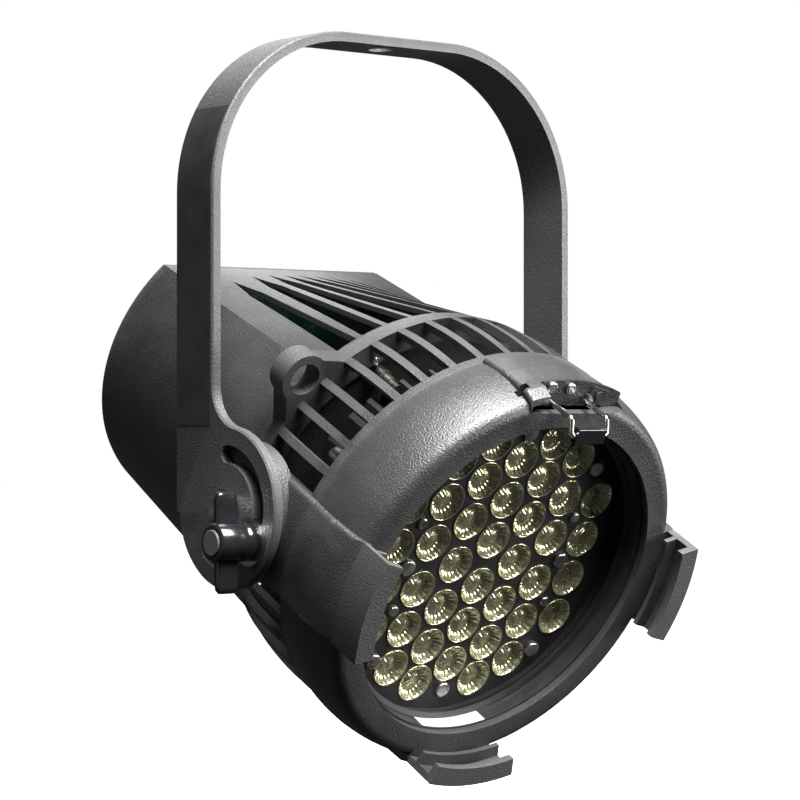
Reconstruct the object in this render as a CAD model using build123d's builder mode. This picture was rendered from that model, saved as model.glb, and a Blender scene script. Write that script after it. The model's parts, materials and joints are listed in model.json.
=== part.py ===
from build123d import *
import os
from math import cos, radians, sin, sqrt, tan

os.makedirs("parts", exist_ok=True)

# Par can wash light on a hanging yoke. Millimetres and degrees.
# Origin: centre of the hanging hole on the yoke's top face. Z is up, X runs along the tilt axis
# and the light leans out towards -Y. Every piece of the head is drawn on the head plane, whose
# origin is the tilt pivot and whose normal is the beam, so heights below are along the beam.

# Fits
gap = 0.3            # free space between neighbours that never touch
run_fit = 0.05       # radial play of a shaft in its hole

# Yoke: one flat bar bent into an arch, with a round plate at the foot of each leg
yoke_half = 114.4
bar_width = 30.0
bar_thick = 4.8
top_bend = 81.2
hang_bore_r = 6.5
pivot_y = -25.5
pivot_z = -230.7
plate_r = 38.3
leg_fillet = 20.0
leg_foot = 3.6
edge_round = 0.8

# Tilt pivot and the lock slot around it
tilt = 27.3
slot_r = 25.4
slot_play = 0.3
slot_start = 2.0
slot_sweep = 213.0
lock_angle = 125.0
bolt_r = 5.0
bolt_thread_r = 4.0
bolt_flange_r = 6.6
bolt_flange = 1.6
bolt_hex_flats = 10.0
bolt_hex = 4.4
bolt_play = 0.1
bush_wall = 2.0
bush_flange_r = 9.0
bush_flange = 1.0
disc_r = 31.0
disc_thick = 3.5
pad_r = 31.5
pad_inner = 96.5

# Lock knob
stud_r = 4.0
stud_depth = 8.0
stud_short = 3.0
washer_r = 11.4
washer_thick = 1.2
collar_r = 9.5
collar_len = 4.0
hub_r = 9.0
hub_len = 16.0
wing_len = 47.0
wing_thick = 5.6
wing_lift = 2.6
wing_width = 12.6
cap_r = 6.0
cap_thick = 1.0

# Yoke label
label_thick = 0.25
label_width = 27.0
label_low = -192.0
label_bend = 30.0

# Rear housing: round at the hoop, cut off by a flat top at the back
rear_z = -159.0
rear_r = 87.3
rear_flat = 53.3
hoop_rear_z = -18.0
hoop_rear_r = 95.1
front_crease = 50.0
housing_wall = 2.4
panel_thick = 2.0

# Top vents: pointed slots that fan out towards the hoop
vent_pitch = 9.0
vent_rib = 2.6
vent_tip_pitch = 9.6
vent_tip_outer = (0.0, 0.0, 0.0, 2.2, 8.6)
vent_tip_z = -137.0
vent_point = 24.0
vent_front_rim = 1.8

# Vent cage: hoop, bars and collar
hoop_front_z = -6.6
hoop_front_r = 98.6
hoop_wall = 4.0
hoop_lip = 2.4
hoop_lip_r = 86.0
cage_bar_width = 4.0
cage_bar_depth = 4.0
collar_z = 36.0
cage_front_r = 101.0
cage_bow = 1.6

# Safety eye on the hoop
eye_angle = 143.1
eye_dist = 107.0
eye_r = 12.4
eye_bore_r = 8.0

# Front bell
seam_z = 41.0
bell_rear_r = 101.0
bell_bulge_r = 102.2
bell_bulge_z = 57.0
bell_nose_r = 99.4
bell_nose_z = 74.0
bell_face_r = 93.0
bell_face_z = 79.6
bell_bore_r = 83.8
bell_wall = 3.6
bell_flange = 3.0
bell_flange_r = 80.0
bell_lip = 4.0

# Cheeks on four sides of the bell, and accessory clips at the two sides and the bottom
cheek_angles = (0.0, 90.0, 180.0, 270.0)
clip_angles = (0.0, 180.0, 270.0)
clip_half = 15.0
cheek_rear_r = 103.4
cheek_r = 104.2
cheek_nose_r = 103.4
cheek_round = 2.5
arm_angles = (0.0, 180.0)
arm_rear_r = 101.4
clip_outer_r = 101.0
clip_wall = 3.6
clip_inner_r = 91.0
clip_rib_z = 84.5
clip_rib = 2.5
clip_front_z = 99.0
clip_flange = 3.8

# Optics
shroud_wall = 2.1
shroud_step_z = 62.6
shroud_ledge_z = 57.8
shroud_ledge = 2.3
shroud_ledge_r = 79.0
shroud_step = 0.9
lens_plate_thick = 1.9
glass_thick = 3.0
gasket_thick = 2.0
gasket_width = 2.4
cell_pitch = 21.87
cell_closest = 0.933
cell_columns = (
    (0.0, (0.574, 1.574, 2.574)), (0.852, (0.0, 1.074, 2.074, 3.007)),
    (1.706, (0.574, 1.574, 2.56)), (2.693, (0.507, 1.507)),
)
cup_gap = 0.7
cup_r = (cell_closest * cell_pitch - cup_gap) / 2
cup_flange = 0.6
cup_step = 0.45
cup_wall = 0.7
cup_bow = 0.9
cup_depth = 14.6
cup_throat_r = 3.4
plate_screw_r = 4.0
plate_screw_head = 2.2
plate_screw_side = 2.218
plate_screw_turn = -20.7
plate_rivet_r = 2.7
plate_rivet_at = (2.195, 1.079)
bead_r = 2.0
inner_label_angle = 270.0
inner_label_arc = 28.0
screw_r = 3.0
screw_head = 1.6
board_thick = 1.6
board_r = 78.0
emitter_size = 3.4
emitter_thick = 0.9

# Heat sink, posts and the fan behind it
sink_r = 85.0
sink_base = 5.0
fin_r = 74.0
fin_rear_z = -2.0
fin_thick = 2.0
fin_pitch = 8.0
post_r = 3.4
post_dist = 89.4
post_len = 20.0
post_first = 18.0
bulkhead_thick = 2.5
fan_side = 92.0
fan_depth = 25.0
fan_bore_r = 43.0
fan_hub_r = 16.0
fan_pin_r = 2.0
fan_blade = 1.6
fan_tip_r = 41.5
gland_angle = 122.5
gland_dist = 80.0
gland_steps = ((4.5, 8.0), (3.4, 6.0), (2.4, 5.0))
fan_strut = 4.0
fan_slant = 38.0

# Electronics
tray_y = -47.0
tray_thick = 2.0
tray_half = 58.0
supply_size = (100.0, 46.0, 90.0)
supply_rear_z = -142.0
control_size = (96.0, 44.0)
control_y = 20.0
control_thick = 1.6
spacer_len = 5.0
spacer_r = 2.5
spacer_inset = 8.0

# Rear panel controls
display_size = (52.0, 18.0)
display_y = 32.0
display_thick = 1.0
button_r = 4.0
button_y = 10.0
button_pitch = 17.0
button_proud = 2.2
button_flange_r = 5.4
button_flange = 1.2
socket_y = -24.0
socket_pitch = 38.0
socket_flange = 28.0
socket_flange_thick = 2.0
socket_corner = 3.0
socket_hole_r = 9.0
inlet_wall = 1.5
data_wall = 1.0
socket_depth = 16.0
contact_r = 1.2
panel_screw_dist = 78.0
panel_screw_angles = (35.0, 145.0, 190.0, 240.0, 300.0, 350.0)
panel_inset = 0.4
intake_y = -60.0
intake_pitch = 9.0
intake_count = 9
intake_len = 16.0
intake_width = 4.0

# Latch over the top of the accessory channels
latch_left = -15.4
latch_right = 36.5
latch_floor_y = 91.0
latch_wall_z = 70.5
latch_plate_thick = 1.6
latch_top_r = 104.4
latch_side_cut = -24.0
latch_skin_r = 97.6
latch_window = (3.6, 6.5)
latch_window_at = (104.5, 70.6)
latch_screw_r = 2.8
latch_screw_head = 1.6
latch_screw_at = ((-9.4, 101.0), (2.6, 100.3))
latch_square = (12.0, 7.5)
latch_square_at = (21.6, 96.6)
latch_square_turn = -14.0
latch_square_thick = 1.2
bail_r = 1.2
bail_half = 11.0
bail_y = 95.2
bail_z = 74.4
bail_reach = 18.0
bail_drop = 7.2
bail_lean = 3.2
bail_bend = 2.2
lug_thick = 1.4
lug_r = 2.6
tab_half = 8.6
tab_size = (7.8, 3.8)

# Derived planes
head = Plane(
    origin=(0, pivot_y, pivot_z), x_dir=(1, 0, 0), z_dir=(0, -cos(radians(tilt)), -sin(radians(tilt)))
)
beam = Axis(head.origin, head.z_dir)
leg_inner = yoke_half - bar_thick
pad_face = leg_inner - bolt_play - disc_thick
slot_width = 2 * (stud_r + slot_play)
panel_face_z = rear_z + panel_thick
stud_y = pivot_y - slot_r * sin(radians(lock_angle))
stud_z = pivot_z + slot_r * cos(radians(lock_angle))


def half_plane(angle):
    """Plane through the beam: sketch x is the radius, sketch y is the height along the beam."""
    out = head.x_dir * cos(radians(angle)) + head.y_dir * sin(radians(angle))
    return Plane(origin=head.origin, x_dir=out, z_dir=out.cross(head.z_dir))


def turned(*points, mode=Mode.ADD, start=0.0, arc=360.0):
    """Turn an outline of (radius, height) points about the beam."""
    with BuildSketch(half_plane(start)) as outline:
        with BuildLine():
            Polyline(*points, close=True)
        make_face()
    revolve(outline.sketch, axis=beam, revolution_arc=arc, mode=mode)


def drilled(plane, radius, length, *places, mode=Mode.SUBTRACT):
    """Round holes or pins along a plane's normal."""
    with BuildSketch(plane) as holes:
        with Locations(*places):
            Circle(radius)
    extrude(holes.sketch, amount=length, mode=mode)


def long_edges(part, radius):
    """Edges at the two ends of a turned wedge that lie outside a radius."""
    found = []
    for edge in part.edges().filter_by(GeomType.LINE):
        ends = [head.to_local_coords(edge @ 0), head.to_local_coords(edge @ 1)]
        if all(sqrt(p.X**2 + p.Y**2) > radius for p in ends) and abs(ends[0].Z - ends[1].Z) > gap:
            found.append(edge)
    return found


def side_plane(x, sign):
    """Plane square to the tilt axis, facing outwards on the chosen side."""
    origin = (sign * x, pivot_y, pivot_z)
    return Plane(origin=origin, x_dir=(0, sign, 0), z_dir=(sign, 0, 0))


def save(name, label):
    name.part.label = label
    export_step(name.part, "parts/" + label + ".step")


# ---------------------------------------------------------------- yoke
leg_end_z = pivot_z + plate_r

with BuildPart() as yoke_bar:
    with BuildSketch(Plane.XZ):
        with BuildLine():
            FilletPolyline(
                (-yoke_half, leg_end_z), (-yoke_half, 0), (yoke_half, 0), (yoke_half, leg_end_z),
                radius=top_bend,
            )
            FilletPolyline(
                (-leg_inner, leg_end_z), (-leg_inner, -bar_thick), (leg_inner, -bar_thick),
                (leg_inner, leg_end_z),
                radius=top_bend - bar_thick,
            )
            Line((-yoke_half, leg_end_z), (-leg_inner, leg_end_z))
            Line((yoke_half, leg_end_z), (leg_inner, leg_end_z))
        make_face()
    extrude(amount=bar_width / 2, both=True)
    with BuildSketch(Plane.YZ.offset(-yoke_half), Plane.YZ.offset(leg_inner)):
        with Locations((0, (leg_end_z + top_bend / 2 + pivot_z - leg_foot) / 2)):
            Rectangle(bar_width, leg_end_z + top_bend / 2 - pivot_z + leg_foot)
        with Locations((pivot_y, pivot_z)):
            Circle(plate_r)
    extrude(amount=bar_thick)
    corners = yoke_bar.edges().filter_by(Axis.X)
    fillet(
        [e for e in corners if abs(e.center().Y + bar_width / 2) < 0.1 and e.center().Z < leg_end_z],
        radius=leg_fillet,
    )
    outer_faces = yoke_bar.faces().filter_by(Axis.X).sort_by(Axis.X)
    chamfer(outer_faces[0].edges() + outer_faces[-1].edges(), length=edge_round)
    drilled(Plane.XY, hang_bore_r, -bar_thick, (0, 0))
    bush_hole_r = bolt_r + bush_wall + run_fit
    drilled(Plane.YZ.offset(-yoke_half), bush_hole_r, 2 * yoke_half, (pivot_y, pivot_z))
    with BuildSketch(Plane.YZ.offset(-yoke_half)):
        with BuildLine() as lock_path:
            CenterArc((pivot_y, pivot_z), slot_r, 90 + slot_start, slot_sweep)
        SlotArc(lock_path.edges()[0], slot_width)
    extrude(amount=bar_thick, mode=Mode.SUBTRACT)
save(yoke_bar, "yoke_bar")

with BuildPart() as yoke_label:
    with BuildSketch(Plane.XZ):
        with BuildLine():
            bend = (-yoke_half + top_bend, -top_bend)
            down = CenterArc(bend, top_bend, 180, -label_bend)
            up = CenterArc(bend, top_bend + label_thick, 180, -label_bend)
            Line(down @ 1, up @ 1)
            Line(down @ 0, (-yoke_half, label_low))
            Line((-yoke_half, label_low), (-yoke_half - label_thick, label_low))
            Line((-yoke_half - label_thick, label_low), up @ 0)
        make_face()
    extrude(amount=label_width / 2, both=True)
save(yoke_label, "yoke_label")

with BuildPart() as pivot_bushes:
    for sign in (-1, 1):
        outer = side_plane(yoke_half, sign)
        drilled(outer, bush_flange_r, bush_flange, (0, 0), mode=Mode.ADD)
        drilled(outer, bolt_r + bush_wall, -bar_thick, (0, 0), mode=Mode.ADD)
        drilled(outer.offset(bush_flange), bolt_r + run_fit, -bar_thick - bush_flange, (0, 0))
save(pivot_bushes, "pivot_bushes")

# ---------------------------------------------------------------- tilt pivot and lock on the head
bolt_seat = yoke_half + bush_flange + bolt_play

with BuildPart() as pivot_bolts:
    for sign in (-1, 1):
        seat = side_plane(bolt_seat, sign)
        drilled(seat, bolt_flange_r, bolt_flange, (0, 0), mode=Mode.ADD)
        with BuildSketch(seat.offset(bolt_flange)) as hexagon:
            RegularPolygon(bolt_hex_flats / 2, 6, major_radius=False)
        extrude(hexagon.sketch, amount=bolt_hex)
        drilled(seat, bolt_r, pad_face - bolt_seat, (0, 0), mode=Mode.ADD)
        thread_len = pad_inner - pad_face + gap
        drilled(side_plane(pad_face, sign), bolt_thread_r, thread_len, (0, 0), mode=Mode.ADD)
save(pivot_bolts, "pivot_bolts")

with BuildPart() as friction_discs:
    for sign in (-1, 1):
        face = side_plane(pad_face, sign)
        drilled(face, disc_r, disc_thick, (0, 0), mode=Mode.ADD)
        drilled(face, bolt_r + run_fit, disc_thick, (0, 0))
    drilled(Plane.YZ.offset(-pad_face), stud_r + gap, -disc_thick, (stud_y, stud_z))
save(friction_discs, "friction_discs")

with BuildPart() as knob_washers:
    for k in range(2):
        base = Plane.YZ.offset(-yoke_half - k * (washer_thick + run_fit))
        drilled(base, washer_r, -washer_thick, (stud_y, stud_z), mode=Mode.ADD)
        drilled(base, stud_r + run_fit, -washer_thick, (stud_y, stud_z))
save(knob_washers, "knob_washers")

knob_base = yoke_half + 2 * washer_thick + run_fit
hub_end = knob_base + collar_len + hub_len
stud_tip = hub_end - stud_short

with BuildPart() as lock_knob:
    drilled(Plane.YZ.offset(-knob_base), collar_r, -collar_len, (stud_y, stud_z), mode=Mode.ADD)
    drilled(Plane.YZ.offset(-knob_base - collar_len), hub_r, -hub_len, (stud_y, stud_z), mode=Mode.ADD)
    with BuildSketch(Plane.XZ.offset(-stud_y)):
        with BuildLine():
            wing_in = -knob_base - collar_len - wing_lift
            wing_out = wing_in - wing_width
            Polyline(
                (wing_in, stud_z + wing_len / 2), (wing_in - wing_lift, stud_z),
                (wing_in, stud_z - wing_len / 2), (wing_out + wing_lift, stud_z - wing_len / 2),
                (wing_out, stud_z), (wing_out + wing_lift, stud_z + wing_len / 2), close=True,
            )
        make_face()
    extrude(amount=wing_thick / 2, both=True)
    ends = lock_knob.edges().filter_by(Axis.X).group_by(Axis.Z)
    fillet(ends[0] + ends[-1], radius=wing_thick / 2.5)
    drilled(Plane.YZ.offset(-knob_base), stud_r, knob_base - stud_tip, (stud_y, stud_z))
save(lock_knob, "lock_knob")

with BuildPart() as lock_stud:
    stud_root = pad_face - stud_depth
    drilled(Plane.YZ.offset(-stud_root), stud_r, stud_root - stud_tip, (stud_y, stud_z), mode=Mode.ADD)
save(lock_stud, "lock_stud")

with BuildPart() as knob_cap:
    drilled(Plane.YZ.offset(-hub_end), cap_r, -cap_thick, (stud_y, stud_z), mode=Mode.ADD)
    fillet(knob_cap.faces().sort_by(Axis.X)[0].edges(), radius=cap_thick / 2)
save(knob_cap, "knob_cap")

# ---------------------------------------------------------------- rear housing
def housing_section(z, radius, flat, crease, inset):
    """Outline of the housing at one height: a round body closed by a flat or an arc on top."""
    r = radius - inset
    with BuildSketch(head.offset(z)) as section:
        with BuildLine():
            start = (r * cos(radians(crease)), r * sin(radians(crease)))
            if flat is not None:
                top = flat - inset
                start = (sqrt(r**2 - top**2), top)
            left = (-start[0], start[1])
            ThreePointArc(start, (0, -r), left)
            if flat is None:
                ThreePointArc(left, (0, r), start)
            else:
                Line(left, start)
        make_face()
    return section.sketch


def housing_body(rear, front, inset):
    """Section-to-section body between two heights of the housing's own taper."""
    grow = (hoop_rear_r - rear_r) / (hoop_rear_z - rear_z)
    loft(
        [
            housing_section(rear, rear_r + grow * (rear - rear_z), rear_flat, 0, inset),
            housing_section(front, hoop_rear_r, None, front_crease, inset),
        ],
        ruled=True,
        mode=Mode.SUBTRACT if inset else Mode.ADD,
    )


with BuildPart() as rear_housing:
    housing_body(panel_face_z, hoop_rear_z, 0)
    housing_body(panel_face_z, hoop_rear_z, housing_wall)
    for k in range(-4, 5):
        side = 1 if k > 0 else -1
        hoop_x = hoop_rear_r * sin(radians(vent_pitch * k))
        hoop_half = (hoop_rear_r * radians(vent_pitch) * cos(radians(vent_pitch * k)) - vent_rib) / 2
        tip_x = k * vent_tip_pitch + side * vent_tip_outer[abs(k)]
        tip_z = vent_tip_z + vent_tip_outer[abs(k)]
        front = hoop_rear_z - vent_front_rim
        share = vent_point / (front - tip_z)
        neck_x = tip_x + (hoop_x - tip_x) * share
        neck_half = (vent_tip_pitch - vent_rib) / 2 + share
        with BuildSketch(Plane(origin=head.origin, x_dir=head.x_dir, z_dir=head.y_dir)):
            with BuildLine():
                Polyline(
                    (tip_x, -tip_z), (neck_x + neck_half, -tip_z - vent_point),
                    (hoop_x + hoop_half, -front), (hoop_x - hoop_half, -front),
                    (neck_x - neck_half, -tip_z - vent_point), close=True,
                )
            make_face()
        extrude(amount=2 * hoop_rear_r, mode=Mode.SUBTRACT)
save(rear_housing, "rear_housing")

# ---------------------------------------------------------------- vent cage
bar_angles = [vent_pitch / 2 + vent_pitch * k for k in range(round(360 / vent_pitch))]
eye_x = eye_dist * cos(radians(eye_angle))
eye_up = eye_dist * sin(radians(eye_angle))
hoop_bore_r = hoop_rear_r - hoop_wall

arms = []
for angle in arm_angles:
    with BuildPart() as arm:
        turned(
            (hoop_front_r - cage_bar_depth, hoop_front_z - hoop_lip), (arm_rear_r, hoop_front_z - hoop_lip),
            (cheek_rear_r, seam_z), (cage_front_r - cage_bar_depth, seam_z),
            start=angle - clip_half, arc=2 * clip_half,
        )
        fillet(long_edges(arm, hoop_front_r), radius=cheek_round)
    arms.append(arm)

with BuildPart() as vent_cage:
    turned(
        (hoop_bore_r, hoop_rear_z), (hoop_rear_r, hoop_rear_z), (hoop_front_r, hoop_front_z),
        (hoop_lip_r, hoop_front_z), (hoop_lip_r, hoop_front_z - hoop_lip),
        (hoop_bore_r, hoop_front_z - hoop_lip),
    )
    turned(
        (cage_front_r - cage_bar_depth, collar_z), (cage_front_r, collar_z),
        (cage_front_r, seam_z), (cage_front_r - cage_bar_depth, seam_z),
    )
    with BuildSketch(*[half_plane(a) for a in bar_angles]):
        with BuildLine():
            low = hoop_front_z - hoop_lip / 2
            mid = (low + seam_z) / 2
            bow_r = (hoop_front_r + cage_front_r) / 2 + cage_bow
            ThreePointArc((hoop_front_r - gap, low), (bow_r, mid), (cage_front_r - gap, seam_z))
            ThreePointArc(
                (hoop_front_r - cage_bar_depth, low), (bow_r - cage_bar_depth, mid),
                (cage_front_r - cage_bar_depth, seam_z),
            )
            Line((hoop_front_r - gap, low), (hoop_front_r - cage_bar_depth, low))
            Line((cage_front_r - gap, seam_z), (cage_front_r - cage_bar_depth, seam_z))
        make_face()
    extrude(amount=cage_bar_width / 2, both=True)
    for arm in arms:
        add(arm.part)
    for sign in (-1, 1):
        drilled(side_plane(pad_face, sign), pad_r, pad_inner - pad_face, (0, 0), mode=Mode.ADD)
        drilled(side_plane(pad_face, sign), bolt_thread_r + run_fit, 3 * (pad_inner - pad_face), (0, 0))
    drilled(Plane.YZ.offset(-pad_face), stud_r + run_fit, stud_depth + gap, (stud_y, stud_z))
    with BuildSketch(head.offset(hoop_rear_z)) as eye:
        with BuildLine():
            root_r = hoop_rear_r - hoop_wall / 2
            spread = 2 * eye_r / root_r
            Polyline(
                (eye_x - eye_r * sin(radians(eye_angle)), eye_up + eye_r * cos(radians(eye_angle))),
                (eye_x + eye_r * sin(radians(eye_angle)), eye_up - eye_r * cos(radians(eye_angle))),
                (root_r * cos(radians(eye_angle) - spread), root_r * sin(radians(eye_angle) - spread)),
                (root_r * cos(radians(eye_angle) + spread), root_r * sin(radians(eye_angle) + spread)),
                close=True,
            )
        make_face()
        with Locations((eye_x, eye_up)):
            Circle(eye_r)
            Circle(eye_bore_r, mode=Mode.SUBTRACT)
        Circle(hoop_bore_r, mode=Mode.SUBTRACT)
    extrude(eye.sketch, amount=hoop_front_z - hoop_rear_z)
save(vent_cage, "vent_cage")

# ---------------------------------------------------------------- front bell
cheeks = []
for angle in cheek_angles:
    with BuildPart() as cheek:
        turned(
            (bell_rear_r - bell_wall, seam_z), (cheek_rear_r, seam_z),
            (cheek_r, bell_bulge_z), (cheek_nose_r, bell_nose_z), (clip_outer_r, bell_face_z),
            (bell_face_r, bell_face_z), (bell_face_r, bell_nose_z - bell_wall),
            (bell_rear_r - bell_wall, bell_bulge_z),
            start=angle - clip_half, arc=2 * clip_half,
        )
        fillet(long_edges(cheek, bell_rear_r), radius=cheek_round)
    cheeks.append(cheek)

with BuildPart() as front_bell:
    with BuildSketch(half_plane(0)) as bell:
        with BuildLine():
            side = Spline(
                (bell_rear_r, seam_z), (bell_bulge_r, bell_bulge_z), (bell_nose_r, bell_nose_z)
            )
            nose = Spline(
                side @ 1, (bell_face_r + bell_flange, bell_face_z - bell_flange / 4),
                (bell_face_r, bell_face_z), tangents=(side % 1, (-1, 0)),
            )
            Polyline(
                nose @ 1, (bell_bore_r, bell_face_z), (bell_bore_r, bell_face_z - bell_lip),
                (bell_nose_r - bell_wall - bell_lip / 2, bell_face_z - bell_lip),
                (bell_rear_r - bell_wall, bell_bulge_z), (bell_rear_r - bell_wall, seam_z + bell_flange),
                (bell_flange_r, seam_z + bell_flange), (bell_flange_r, seam_z), side @ 0,
            )
        make_face()
    revolve(bell.sketch, axis=beam)
    for cheek in cheeks:
        add(cheek.part)
    with BuildSketch(head.offset(latch_wall_z)) as pocket:
        with Locations(((latch_left + latch_right) / 2, latch_floor_y + latch_top_r / 2)):
            Rectangle(latch_right - latch_left, latch_top_r)
    extrude(pocket.sketch, amount=bell_face_z, mode=Mode.SUBTRACT)
    with BuildSketch(head.offset(latch_wall_z)) as recess:
        with Locations(((latch_side_cut + latch_left) / 2, latch_floor_y + latch_top_r / 2)):
            Rectangle(latch_left - latch_side_cut, latch_top_r)
        Circle(latch_skin_r, mode=Mode.INTERSECT)
    extrude(recess.sketch, amount=bell_face_z, mode=Mode.SUBTRACT)
    out = half_plane(latch_window_at[0]).x_dir
    with BuildSketch(Plane(origin=head.origin, x_dir=head.z_dir, z_dir=out).offset(latch_floor_y)) as window:
        with Locations((latch_window_at[1], 0)):
            Rectangle(*latch_window)
    extrude(window.sketch, amount=cheek_r, mode=Mode.SUBTRACT)
save(front_bell, "front_bell")

clip_names = ("right", "left", "bottom")
clips = []
for angle in clip_angles:
    with BuildPart() as clip:
        wall_r = clip_outer_r - clip_wall
        turned(
            (clip_outer_r, bell_face_z), (clip_outer_r, clip_front_z), (clip_inner_r, clip_front_z),
            (clip_inner_r, clip_front_z - clip_flange), (wall_r, clip_front_z - clip_flange),
            (wall_r, clip_rib_z + clip_rib), (clip_inner_r, clip_rib_z + clip_rib),
            (clip_inner_r, clip_rib_z), (wall_r, clip_rib_z), (wall_r, bell_face_z),
            start=angle - clip_half, arc=2 * clip_half,
        )
    clips.append(clip)
for clip, clip_name in zip(clips, clip_names):
    save(clip, "accessory_clip_" + clip_name)

# ---------------------------------------------------------------- latch
bracket_face_z = latch_wall_z + latch_plate_thick
lug_out = bail_half + bail_bend + gap + lug_thick


def at_side(x):
    """Head plane turned to face along the tilt axis: sketch x is up, sketch y is the beam height."""
    return Plane(origin=head.origin + head.x_dir * x, x_dir=head.y_dir, z_dir=head.x_dir)


with BuildPart() as latch_bracket:
    with BuildSketch(head.offset(latch_wall_z)) as plate:
        Circle(latch_top_r)
        with Locations(((latch_left + latch_right) / 2, latch_floor_y + gap + latch_top_r / 2)):
            Rectangle(latch_right - latch_left - 2 * gap, latch_top_r, mode=Mode.INTERSECT)
    extrude(plate.sketch, amount=latch_plate_thick)
    with BuildSketch(at_side(-lug_out), at_side(lug_out - lug_thick)) as lugs:
        with Locations((bail_y, bail_z)):
            Circle(lug_r)
        with Locations((bail_y, (bail_z + bracket_face_z) / 2)):
            Rectangle(2 * lug_r, bail_z - bracket_face_z)
        with Locations((bail_y, bail_z)):
            Circle(bail_r + run_fit, mode=Mode.SUBTRACT)
    extrude(lugs.sketch, amount=lug_thick)
save(latch_bracket, "latch_bracket")

with BuildPart() as latch_screws:
    face = head.offset(bracket_face_z)
    drilled(face, latch_screw_r, latch_screw_head, *latch_screw_at, mode=Mode.ADD)
    rims = latch_screws.edges().filter_by(GeomType.CIRCLE)
    fillet(rims.group_by(beam)[-1], radius=latch_screw_head / 2)
save(latch_screws, "latch_screws")

with BuildPart() as latch_plate:
    face = head.offset(bracket_face_z)
    with BuildSketch(face):
        with Locations(latch_square_at):
            Rectangle(latch_square[0], latch_square[1], rotation=latch_square_turn)
    extrude(amount=latch_square_thick)
    rivet = face.offset(latch_square_thick)
    drilled(rivet, lug_r, latch_square_thick, latch_square_at, mode=Mode.ADD)
save(latch_plate, "latch_plate")

bail_low_y = bail_y - bail_drop
bail_low_z = bail_z + bail_reach + bail_lean

with BuildPart() as latch_bail:
    with BuildLine():
        spots = [
            (lug_out, bail_y, bail_z), (bail_half, bail_y, bail_z),
            (bail_half, bail_y, bail_z + bail_reach), (bail_half, bail_low_y, bail_low_z),
        ]
        spots += [(-x, y, z) for x, y, z in reversed(spots)]
        FilletPolyline(*[head.from_local_coords(spot) for spot in spots], radius=bail_bend)
    with BuildSketch(at_side(lug_out)):
        with Locations((bail_y, bail_z)):
            Circle(bail_r)
    sweep()
save(latch_bail, "latch_bail")

with BuildPart() as latch_tab:
    with BuildSketch(at_side(0)):
        with Locations((bail_low_y, bail_low_z)):
            RectangleRounded(tab_size[0], tab_size[1], bail_r / 2)
            Circle(bail_r, mode=Mode.SUBTRACT)
    extrude(amount=tab_half, both=True)
save(latch_tab, "latch_tab")

# ---------------------------------------------------------------- optics
shroud_r = bell_bore_r - run_fit
shroud_bore_r = shroud_r - shroud_wall
lens_front_z = shroud_ledge_z + lens_plate_thick
rim_z = lens_front_z + cup_flange
cup_body_r = cup_r - cup_step
cells = []
for column_x, column_y in cell_columns:
    for y in column_y:
        spots = {(sx * column_x * cell_pitch, sy * y * cell_pitch) for sx in (-1, 1) for sy in (-1, 1)}
        cells += sorted(spots)

with BuildPart() as light_shroud:
    turned(
        (shroud_r, seam_z + bell_flange), (shroud_r, bell_face_z - bell_lip),
        (shroud_bore_r + shroud_step, bell_face_z - bell_lip),
        (shroud_bore_r + shroud_step, shroud_step_z), (shroud_bore_r, shroud_step_z),
        (shroud_bore_r, shroud_ledge_z), (shroud_ledge_r, shroud_ledge_z),
        (shroud_ledge_r, shroud_ledge_z - shroud_ledge), (shroud_bore_r, shroud_ledge_z - shroud_ledge),
        (shroud_bore_r, seam_z + bell_flange),
    )
save(light_shroud, "light_shroud")

with BuildPart() as lens_plate:
    drilled(head.offset(shroud_ledge_z), shroud_bore_r - gap, lens_plate_thick, (0, 0), mode=Mode.ADD)
    drilled(head.offset(shroud_ledge_z), cup_body_r + run_fit, lens_plate_thick, *cells)
save(lens_plate, "lens_plate")

with BuildPart() as cup:
    with BuildSketch(Plane.XZ):
        with BuildLine():
            Polyline((cup_body_r, -cup_flange), (cup_r, -cup_flange), (cup_r, 0), (cup_body_r - cup_wall, 0))
            mid_r = (cup_body_r + cup_throat_r) / 2 + cup_bow
            ThreePointArc(
                (cup_body_r, -cup_flange), (mid_r, -cup_depth / 2), (cup_throat_r, -cup_depth)
            )
            ThreePointArc(
                (cup_body_r - cup_wall, 0), (mid_r - cup_wall, -cup_depth / 2),
                (cup_throat_r - cup_wall, -cup_depth),
            )
            Line((cup_throat_r, -cup_depth), (cup_throat_r - cup_wall, -cup_depth))
        make_face()
    revolve(axis=Axis.Z)

with BuildPart() as lens_cups:
    with Locations(*[head.location * Pos(x, y, rim_z) for x, y in cells]):
        add(cup.part)
save(lens_cups, "lens_cups")

with BuildPart() as plate_screws:
    face = head.offset(lens_front_z)
    clear = cup_r + plate_screw_r + gap
    corner_cell = (cell_columns[2][0] * cell_pitch, cell_columns[2][1][-1] * cell_pitch)
    corner_x = corner_cell[0] + clear * cos(radians(plate_screw_turn))
    corner_y = corner_cell[1] + clear * sin(radians(plate_screw_turn))
    top_y = cell_columns[0][1][-1] * cell_pitch + clear
    side_x = plate_screw_side * cell_pitch
    spots = [(0, top_y), (0, -top_y), (side_x, 0), (-side_x, 0)]
    spots += [(sx * corner_x, sy * corner_y) for sx in (-1, 1) for sy in (-1, 1)]
    drilled(face, plate_screw_r, plate_screw_head, *spots, mode=Mode.ADD)
    rivet_x, rivet_y = (share * cell_pitch for share in plate_rivet_at)
    spots = [(sx * rivet_x, sy * rivet_y) for sx in (-1, 1) for sy in (-1, 1)]
    drilled(face, plate_rivet_r, screw_head, *spots, mode=Mode.ADD)
    rims = plate_screws.edges().filter_by(GeomType.CIRCLE)
    tops = [e for e in rims if head.to_local_coords(e.center()).Z > lens_front_z + gap]
    fillet(tops, radius=screw_head / 2)
save(plate_screws, "plate_screws")

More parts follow.
